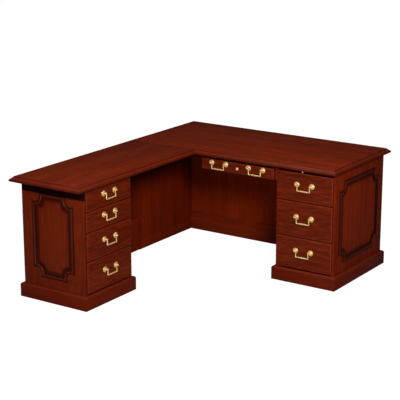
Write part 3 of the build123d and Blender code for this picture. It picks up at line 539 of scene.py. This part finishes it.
# On the tops the edge copy is not painted paler; their moulded edge has bands of painted shade and painted
# highlight.
TOP_FIGURE = {"band": 0.62, "flecks": 0.3, "moulded": True, "edge_highlight": 1.0}
FRONT_FIGURE = {"band": 0.7, "pores": 0.6, "flecks": 0.55}
TOP_X = wood("main_top_mahogany", "x", RED, RED_DEEP, **TOP_FIGURE)
TOP_Y = wood("return_top_mahogany", "y", RED, RED_DEEP, offset=(3.1, 0.4, 0), **TOP_FIGURE)
FRONT_X = wood("drawer_mahogany", "x", FRONT_RED, FRONT_DEEP, offset=(0.7, 0, 0.3), **FRONT_FIGURE)
FRONT_Y = wood("return_drawer_mahogany", "y", RETURN_RED, FRONT_DEEP, offset=(5.2, 0, 0.9), **FRONT_FIGURE)
KNEE_PAINTED_FILL = wood("knee_mahogany_painted_fill", "z", KNEE_RED_PAINTED_FILL, KNEE_DEEP_PAINTED_FILL, band=0.7, offset=(0, 2.2, 0), sheen=0.06)
KNEE_SIDE_PAINTED_FILL = wood("knee_side_mahogany_painted_fill", "z", SIDE_RED_PAINTED_FILL, SIDE_DEEP_PAINTED_FILL, band=0.7, offset=(0, 6.1, 0), sheen=0.06)
# Painted lighter as the knee space is, a painted fill light, and painted dark at the top as painted shadow
# under the overhang.
PARTITION = wood(
    "partition_mahogany", "z", KNEE_RED_PAINTED_FILL, KNEE_DEEP_PAINTED_FILL, band=0.7, offset=(0, 9.2, 0), tuck=PARTITION_SHADOW_FROM
)
# The bases' rounded top is painted paler: a painted highlight.
BASE = wood("base_mahogany", "around", BASE_RED, BASE_DEEP, band=0.5, round=BASE_HIGHLIGHT_FROM)
RAIL = wood("knee_rail_mahogany", "around", PANEL_RED, PANEL_DEEP, band=0.5)
RIGHT_FRAME = frame_glaze("right_moulding", "Y")
RETURN_FRAME = frame_glaze("return_moulding", "X")
RIGHT_PANEL = wood(
    "right_panel_mahogany",
    "z",
    RIGHT_RED,
    PANEL_DEEP,
    flecks=0.35,
    offset=(0, 4.3, 0),
    frame=RIGHT_FRAME,
    sheen=0.04,
)
# Painted dark near its top: painted shadow under the return top's overhang.
RETURN_PANEL = wood(
    "return_panel_mahogany",
    "z",
    PANEL_RED,
    PANEL_DEEP,
    flecks=0.4,
    offset=(0, 7.7, 0),
    frame=RETURN_FRAME,
    tuck=RETURN_SHADOW_FROM,
)
MOULDING_RED = (0.090, 0.0110, 0.0040, 1)
MOULDING_DEEP = (0.050, 0.0055, 0.0018, 1)
MOULDING_REDS = (MOULDING_RED, MOULDING_DEEP)
WORKED = {"is_frame": True, "sheen": 0.12}
RIGHT_MOULDING = wood("right_moulding_mahogany", "z", *MOULDING_REDS, frame=RIGHT_FRAME, **WORKED)
# Also painted dark near its top, as painted shadow under the overhang.
RETURN_MOULDING = wood(
    "return_moulding_mahogany", "z", *MOULDING_REDS, frame=RETURN_FRAME, tuck=RETURN_SHADOW_FROM, **WORKED
)
TIMBER_X = wood("box_poplar_x", "x", POPLAR, POPLAR_DEEP, band=0.5, pores=0.3)
TIMBER_Y = wood("box_poplar_y", "y", POPLAR, POPLAR_DEEP, band=0.5, pores=0.3)
RAIL_X_STAIN_AND_SHADE = wood("stained_rail_and_painted_shade_x", "x", STAIN_AND_SHADE, STAIN_AND_SHADE_DEEP)
RAIL_Y = wood("stained_rail_y", "y", STAIN_AND_SHADE, STAIN_AND_SHADE_DEEP)
BRASS = metal("polished_brass", (0.95, 0.66, 0.27, 1), (0.72, 0.45, 0.15, 1))
LOCK = metal("lock_bronze", (1.0, 0.60, 0.38, 1), (0.80, 0.44, 0.26, 1), bare=0.3)
FELT = wood("glide_felt", "x", (0.035, 0.03, 0.025, 1), (0.012, 0.01, 0.008, 1))

# ---------------------------------------------------------------- cabinet boards


def ease_edges(node_name, finish, width=0.8):
    """A cabinet board with its arrises taken off: a merged copy, its flat faces whole again."""
    source = NODES[node_name]
    board = source.copy()
    board.data = source.data.copy()
    board.parent = None
    board.name = node_name + "_eased"
    bpy.context.scene.collection.objects.link(board)
    for key in [key for key in board.keys() if key.startswith("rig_")]:
        del board[key]
    coat(board, finish)
    edit(board)
    bpy.ops.mesh.select_all(action="SELECT")
    bpy.ops.mesh.remove_doubles(threshold=0.01 * MM)
    bpy.ops.mesh.dissolve_limited(angle_limit=math.radians(0.4))
    leave_edit()
    # The bevels take the last material: for wood, the edge copy that is painted paler as a highlight.
    apply_modifier(
        board,
        "BEVEL",
        width=width * MM,
        segments=2,
        limit_method="ANGLE",
        angle_limit=math.radians(38),
        material=len(finish) - 1,
    )
    smooth(board)
    return settle(board, node_name)


BOARDS = {
    "main_top": (TOP_X, 0.5),
    "return_top": (TOP_Y, 0.5),
    "right_end_panel": (RIGHT_PANEL, 1.0),
    "return_end_panel": (RETURN_PANEL, 1.0),
    "right_partition": (PARTITION, 1.0),
    "return_partition": (KNEE_SIDE_PAINTED_FILL, 1.0),
    "left_end_panel": (KNEE_SIDE_PAINTED_FILL, 0.8),
    "return_back_panel": (KNEE_SIDE_PAINTED_FILL, 0.8),
    "modesty_panels": (KNEE_PAINTED_FILL, 0.5),
    "modesty_rail": (RAIL, 0.8),
    "knee_trim": (KNEE_SIDE_PAINTED_FILL, 0.8),
    "right_base": (BASE, 0.8),
    "return_base": (BASE, 0.8),
    "outer_base": (BASE, 0.8),
    "front_rails": (RAIL_X_STAIN_AND_SHADE, 0.5),
    # The slide's front takes the dark stain: painted shadow under the top's overhang.
    "writing_slide": (RAIL_X_STAIN_AND_SHADE, 0.8),
    "case_floors": (RAIL_X_STAIN_AND_SHADE, 0.8),
    "right_dividers": (RAIL_X_STAIN_AND_SHADE, 0.8),
    "return_dividers": (RAIL_Y, 0.8),
    "centre_drawer_hangers": (KNEE_PAINTED_FILL, 0.8),
    "top_fixing_blocks": (TIMBER_X, 0.8),
    "lock_collar": (LOCK, 0.25),
    "lock_cylinder": (LOCK, 0.2),
    "floor_glides": (FELT, 0.4),
}
for board_name, (finish, width) in BOARDS.items():
    ease_edges(board_name, finish, width)

# ---------------------------------------------------------------- applied mouldings
ARC_STEPS = 14
# The moulding's section, from its outer edge inwards: (width, rise) of each step.
SECTION = (
    (0.6, 0.8),
    (1.8, 0.6),
    (1.8, -0.2),
    (1.2, 0.9),
    (1.2, 1.8),
    (1.6, 1.4),
    (1.9, 0.8),
    (1.9, 0.0),
    (1.6, -0.8),
    (1.4, -1.5),
    (1.6, -1.5),
    (2.4, -0.8),
    (2.6, -0.4),
    (2.4, 0.2),
    (1.2, -0.6),
)
SECTION_FOOT = 1.9  # the outer edge's upright height


def ticket_outline(half_width, half_height):
    """The outer outline of the frame, anticlockwise, with hollow corners and small ears."""
    ear = EAR + MOULDING_HALF
    radius = HOLLOW - MOULDING_HALF
    points = []
    for turn, (sx, sy) in enumerate(((1, 1), (-1, 1), (-1, -1), (1, -1))):
        cx, cy = sx * (half_width - ear), sy * (half_height - ear)
        corner = [(sx * half_width, cy - sy * radius)]
        for step in range(ARC_STEPS + 1):
            angle = math.radians(90) * step / ARC_STEPS
            corner.append((cx - sx * radius * math.sin(angle), cy - sy * radius * math.cos(angle)))
        corner.append((cx - sx * radius, sy * half_height))
        points += corner if turn % 2 == 0 else corner[::-1]
    return points


def lay_moulding(node_name, finish, place):
    """A mitred moulding, worked inwards from its outline. place puts (across, up) on the panel."""
    low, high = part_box(node_name)
    across = max(high.x - low.x, high.y - low.y)
    outline = ticket_outline(across / 2, (high.z - low.z) / 2)
    mesh = bpy.data.meshes.new(node_name + "_worked")
    moulding = bpy.data.objects.new(node_name + "_worked", mesh)
    bpy.context.scene.collection.objects.link(moulding)
    work = bmesh.new()
    work.faces.new([work.verts.new(place(u, v)) for u, v in outline])
    work.to_mesh(mesh)
    work.free()
    edit(moulding)
    bpy.ops.mesh.select_all(action="SELECT")
    bpy.ops.mesh.extrude_region_shrink_fatten(TRANSFORM_OT_shrink_fatten={"value": SECTION_FOOT * MM})
    for width, rise in SECTION:
        bpy.ops.mesh.inset(thickness=width * MM, depth=rise * MM, use_even_offset=True)
    bpy.ops.mesh.delete(type="ONLY_FACE")
    select_faces(moulding, lambda f: len(f.verts) > 4)
    bpy.ops.mesh.delete(type="ONLY_FACE")
    bpy.ops.mesh.select_mode(type="EDGE")
    bpy.ops.mesh.select_non_manifold()
    bpy.ops.mesh.bridge_edge_loops()
    bpy.ops.mesh.select_all(action="SELECT")
    bpy.ops.mesh.normals_make_consistent(inside=False)
    leave_edit()
    coat(moulding, finish)
    smooth(moulding, 50)
    return settle(moulding, node_name)


right_low, right_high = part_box("right_moulding")
right_mid = (right_low + right_high) / 2
lay_moulding(
    "right_moulding", RIGHT_MOULDING, lambda u, v: (right_low.x, right_mid.y + u, right_mid.z + v)
)
return_low, return_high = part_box("return_moulding")
return_mid = (return_low + return_high) / 2
lay_moulding(
    "return_moulding", RETURN_MOULDING, lambda u, v: (return_mid.x + u, return_high.y, return_mid.z + v)
)

# ---------------------------------------------------------------- drawers
LIP = 8.5 * MM
EDGE_WIDTH = 16 * MM
EDGE_DROP = 5.0 * MM
EDGE_STEP = 1.2 * MM
CORE_SIDE = 1.5 * MM
CORE_TOP = 3.5 * MM
ROUND_STEPS = 6
GAP_SHADE_DEPTH = EDGE_STEP + EDGE_DROP * 0.56  # faces further back than this take the dark stain as painted shade in the gap
LOCK_BORE = 7.2 * MM  # radius
DRILL_LENGTH = 120 * MM


def drill(piece, centre, radius):
    """A round hole bored from front to back through a piece."""
    bpy.ops.object.select_all(action="DESELECT")
    bpy.ops.mesh.primitive_cylinder_add(vertices=64, radius=radius, depth=DRILL_LENGTH, location=centre)
    bit = bpy.context.object
    bit.rotation_euler.x = math.radians(90)
    bpy.ops.object.transform_apply(location=True, rotation=True, scale=True)
    apply_modifier(piece, "BOOLEAN", object=bit, operation="DIFFERENCE", solver="EXACT")
    bpy.data.objects.remove(bit, do_unlink=True)


def shape_front(drawer, outward):
    """A drawer front: a lip with a stepped thumbnail edge, and the thicker core behind it."""
    low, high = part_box(drawer + "_front")
    box_low, box_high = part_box(drawer + "_box")
    axis = 1 if outward.y else 0
    face = low.y if outward.y else high.x
    into = -outward[axis]
    lip_low, lip_high = low.copy(), high.copy()
    ends = sorted((face + into * (EDGE_DROP + EDGE_STEP), face + into * LIP))
    lip_low[axis], lip_high[axis] = ends
    finish = FRONT_X if outward.y else FRONT_Y
    lip = add_block(drawer + "_lip", lip_low, lip_high)
    coat(lip, finish)
    edit(lip)
    select_faces(lip, lambda f: f.normal.dot(outward) > 0.9)
    for step in range(ROUND_STEPS):
        start, end = (math.radians(90) * (step + part) / ROUND_STEPS for part in (0, 1))
        width = EDGE_WIDTH * (math.cos(start) - math.cos(end))
        rise = EDGE_DROP * (math.sin(end) - math.sin(start))
        bpy.ops.mesh.inset(thickness=width, depth=rise, use_even_offset=True)
    bpy.ops.mesh.inset(thickness=0.25 * MM, depth=EDGE_STEP, use_even_offset=True)
    bpy.ops.mesh.inset(thickness=0.5 * MM, depth=0, use_even_offset=True)
    leave_edit()
    # The third slot, the dark stain, is painted shade on the lip faces deep in the gap; tilted faces take the
    # edge copy, painted paler as a highlight.
    lip.data.materials.append(RAIL_X_STAIN_AND_SHADE[0])
    for part in lip.data.polygons:
        tilt = part.normal.dot(outward)
        behind = (part.center[axis] - face) * into
        if behind > GAP_SHADE_DEPTH:
            part.material_index = 2
        elif 0.05 < tilt < 0.99:
            part.material_index = 1
    core_low, core_high = box_low.copy(), box_high.copy()
    core_low[1 - axis] -= CORE_SIDE
    core_high[1 - axis] += CORE_SIDE
    core_high.z += CORE_TOP
    back = high.y if outward.y else low.x
    core_low[axis], core_high[axis] = sorted((face + into * LIP, back))
    core = add_block(drawer + "_core", core_low, core_high)
    coat(core, finish)
    apply_modifier(core, "BEVEL", width=0.6 * MM, segments=2, limit_method="ANGLE")
    if drawer == "centre_drawer":
        collar_low, collar_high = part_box("lock_collar")
        for piece in (lip, core):
            drill(piece, (collar_low + collar_high) / 2, LOCK_BORE)
    front = join([lip, core], drawer + "_moulded_front")
    smooth(front, 28)
    return settle(front, drawer + "_front")


# ---------------------------------------------------------------- turned brass


def turn_on_lathe(name, profile, centre, axis, steps=40):
    """Spins a half section round axis. profile is (radius, height) in millimetres up the axis."""
    side = axis.orthogonal().normalized()
    mesh = bpy.data.meshes.new(name)
    turned = bpy.data.objects.new(name, mesh)
    bpy.context.scene.collection.objects.link(turned)
    work = bmesh.new()
    points = [work.verts.new(centre + side * r * MM + axis * h * MM) for r, h in profile]
    for first, second in zip(points, points[1:]):
        work.edges.new((first, second))
    work.to_mesh(mesh)
    work.free()
    edit(turned)
    bpy.ops.mesh.select_all(action="SELECT")
    bpy.ops.mesh.spin(steps=steps, angle=math.tau, center=centre, axis=axis)
    bpy.ops.mesh.select_all(action="SELECT")
    bpy.ops.mesh.remove_doubles(threshold=0.004 * MM)
    bpy.ops.mesh.normals_make_consistent(inside=False)
    leave_edit()
    smooth(turned, 40)
    return turned


def arc(centre, radius, start, end, steps):
    """Points on an arc in the (radius, height) plane, angles in degrees from outward."""
    return [
        (
            centre[0] + radius * math.cos(math.radians(start + (end - start) * n / steps)),
            centre[1] + radius * math.sin(math.radians(start + (end - start) * n / steps)),
        )
        for n in range(steps + 1)
    ]


POST_SPACING = 105 * MM
PIVOT = 15.0  # pivot's height over the drawer face
PIVOT_DOWN = 3.5 * MM  # pivot below the top of its bail
ROSETTE = (
    [(0, 0), (17.4, 0), (17.4, 0.6)]
    + arc((16.2, 1.5), 1.4, -20, 160, 7)
    + arc((13.0, 3.2), 1.5, 250, 320, 3)[::-1]
    + arc((8.0, -3.6), 8.6, 55, 100, 7)
    + [(5.2, 5.6), (3.9, 6.4), (3.4, 7.6), (3.4, 8.6), (4.4, 9.2), (4.4, 9.9), (3.6, 10.3)]
    + arc((0, PIVOT), 5.5, -52, 84, 12)
    + [(0, PIVOT + 5.5)]
)
STUD_END = -25.0
NUT = [(0, -20.0), (4.4, -20.0), (4.4, -23.0), (2.0, -23.0), (2.0, STUD_END), (0, STUD_END)]
EYE = [(0, -3.0), (3.4, -3.0), (4.2, -2.2), (4.2, 1.6), (3.4, 2.4), (1.6, 2.6), (1.6, 8.6), (0, 8.6)]
LEG_TOP = 42.5
# Half the bail, from its eye to the middle of the grip: (across, down, thickness radius).
BAIL_HALF = (
    (42.5, 0.0, 3.2),
    (42.6, 6.0, 3.0),
    (42.8, 14.0, 3.1),
    (43.2, 22.0, 3.5),
    (43.8, 30.0, 3.9),
    (43.2, 36.6, 4.1),
    (35.0, 36.4, 3.9),
    (27.0, 36.0, 3.3),
    (24.5, 36.0, 4.5),
    (19.0, 36.0, 4.7),
    (9.0, 36.0, 4.8),
)


def hang_bail(name, pivot, along, node_name):
    """A bail: swelling grip, round corners and an eye with its pin at each end."""
    curve = bpy.data.curves.new(name, "CURVE")
    curve.dimensions = "3D"
    curve.bevel_depth = MM
    curve.bevel_resolution = 5
    curve.resolution_u = 5
    curve.use_fill_caps = True
    spline = curve.splines.new("NURBS")
    route = [(-a, d, r) for a, d, r in BAIL_HALF] + [(a, d, r) for a, d, r in BAIL_HALF[::-1]]
    spline.points.add(len(route) - 1)
    for point, (a, d, r) in zip(spline.points, route):
        place = pivot + along * a * MM + Vector((0, 0, -d * MM))
        point.co = (*place, 1)
        point.radius = r
    spline.order_u = 3
    spline.use_endpoint_u = True
    rod = bpy.data.objects.new(name + "_rod", curve)
    bpy.context.scene.collection.objects.link(rod)
    only(rod)
    bpy.ops.object.convert(target="MESH")
    rod = bpy.context.object
    eyes = [
        turn_on_lathe(name + "_eye", EYE, pivot + along * side * LEG_TOP * MM, along * side, 24)
        for side in (-1, 1)
    ]
    bail = join([rod, *eyes], name)
    coat(bail, BRASS)
    smooth(bail, 45)
    return settle(bail, node_name)


def fit_pulls(drawer, outward):
    """Rosettes with their posts, and the bails between them."""
    along = Vector((1, 0, 0)) if outward.y else Vector((0, 1, 0))
    axis = 0 if outward.y else 1
    face_low, face_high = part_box(drawer + "_front")
    face = face_low.y if outward.y else face_high.x
    bails = [name for name in NODES if name.startswith(drawer) and name.endswith("bail")]
    rosettes = []
    for bail_name in bails:
        low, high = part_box(bail_name)
        pivot = (low + high) / 2
        pivot.z = high.z - PIVOT_DOWN
        pivot[1 - axis] = face + outward[1 - axis] * PIVOT * MM
        for side in (-1, 1):
            foot = pivot + along * side * POST_SPACING / 2
            foot[1 - axis] = face
            rosettes.append(turn_on_lathe(drawer + "_rosette", ROSETTE, foot, outward))
            rosettes.append(turn_on_lathe(drawer + "_stud", NUT, foot, outward, 6))
        hang_bail(bail_name + "_cast", pivot, along, bail_name)
    posts = join(rosettes, drawer + "_rosettes")
    coat(posts, BRASS)
    settle(posts, drawer + "_posts")


TOWARDS_SITTER = Vector((0, -1, 0))
TOWARDS_RIGHT = Vector((1, 0, 0))
DRAWERS = {f"right_drawer_{n}": TOWARDS_SITTER for n in (1, 2, 3)}
DRAWERS |= {f"return_drawer_{n}": TOWARDS_RIGHT for n in (1, 2, 3, 4)}
DRAWERS["centre_drawer"] = TOWARDS_SITTER
for drawer, outward in DRAWERS.items():
    shape_front(drawer, outward)
    ease_edges(drawer + "_box", TIMBER_Y if outward.y else TIMBER_X, 1.2)
    fit_pulls(drawer, outward)

knob_low, knob_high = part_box("writing_slide_knob")
knob_foot = Vector(((knob_low.x + knob_high.x) / 2, knob_high.y, (knob_low.z + knob_high.z) / 2))
KNOB = [(0, 0), (5.0, 0), (5.0, 0.9), (4.2, 1.6), (3.2, 2.6)]
KNOB += [(2.9, 4.4), (3.3, 6.0), (5.2, 6.7), (6.9, 7.6)]
KNOB += arc((0, 9.0), 7.5, 0, 84, 9) + [(0, 16.5)]
knob = turn_on_lathe("slide_knob_turned", KNOB, knob_foot, TOWARDS_SITTER)
coat(knob, BRASS)
settle(knob, "writing_slide_knob")

# ---------------------------------------------------------------- floor, light and camera
FLOOR_SIZE = 60.0
FLOOR_GLOW = 0.97  # as the camera alone sees it
FILL = 0.20
MIRRORED_FILL = 0.02  # the room as polished surfaces see it
LENS = 115.8
CAMERA_PLACE = (4.228, -6.366, 2.635)
CAMERA_DOWN = 15.485
CAMERA_TURN = 33.972
bpy.ops.object.select_all(action="DESELECT")
bpy.ops.mesh.primitive_plane_add(size=FLOOR_SIZE, location=(0, 0, 0))
floor = bpy.context.object
floor.name = "studio_floor"
floor_material, floor_tree, floor_shader = new_material("studio_floor_paper")
floor_shader.inputs["Base Color"].default_value = (0.15, 0.15, 0.15, 1)
floor_shader.inputs["Roughness"].default_value = 0.9
floor_shader.inputs["Specular IOR Level"].default_value = 0.0
floor_shader.inputs["Emission Color"].default_value = (1, 1, 1, 1)
floor_seen = floor_tree.nodes.new("ShaderNodeLightPath").outputs["Is Camera Ray"]
glow = maths(floor_tree, "MULTIPLY", floor_seen, FLOOR_GLOW)
floor_tree.links.new(glow, floor_shader.inputs["Emission Strength"])
floor.data.materials.append(floor_material)

world = bpy.data.worlds.new("studio")
bpy.context.scene.world = world
world.use_nodes = True
world_tree = world.node_tree
background = world_tree.nodes["Background"]
background.inputs["Color"].default_value = (1, 1, 1, 1)
ray = world_tree.nodes.new("ShaderNodeLightPath").outputs
mirrored = maths(world_tree, "MULTIPLY", ray["Is Glossy Ray"], FILL - MIRRORED_FILL)
unmirrored = maths(world_tree, "SUBTRACT", FILL, mirrored)
strength = maths(world_tree, "ADD", unmirrored, ray["Is Camera Ray"], clamp=True)
world_tree.links.new(strength, background.inputs["Strength"])


def add_softbox(name, place, aim, size, watts):
    """A square soft light at a place, aimed at a point."""
    light = bpy.data.lights.new(name, "AREA")
    light.shape = "SQUARE"
    light.size = size
    light.energy = watts
    lamp = bpy.data.objects.new(name, light)
    bpy.context.scene.collection.objects.link(lamp)
    lamp.location = place
    lamp.rotation_euler = (Vector(aim) - Vector(place)).to_track_quat("-Z", "Y").to_euler()


add_softbox("key_softbox", (4.0, -4.3, 3.4), (0, 0, 0.5), 1.2, 390)
add_softbox("low_softbox", (1.6, -5.6, 0.9), (0, 0.6, 0.4), 1.6, 70)
add_softbox("top_softbox", (-0.4, -0.6, 4.6), (0, 0, 0.7), 3.2, 70)

camera_data = bpy.data.cameras.new("camera")
camera_data.sensor_width = 36.0
camera_data.lens = LENS
camera = bpy.data.objects.new("camera", camera_data)
bpy.context.scene.collection.objects.link(camera)
camera.location = CAMERA_PLACE
camera.rotation_euler = (math.radians(90 - CAMERA_DOWN), 0, math.radians(CAMERA_TURN))
bpy.context.scene.camera = camera
bpy.context.scene.view_settings.view_transform = "Standard"
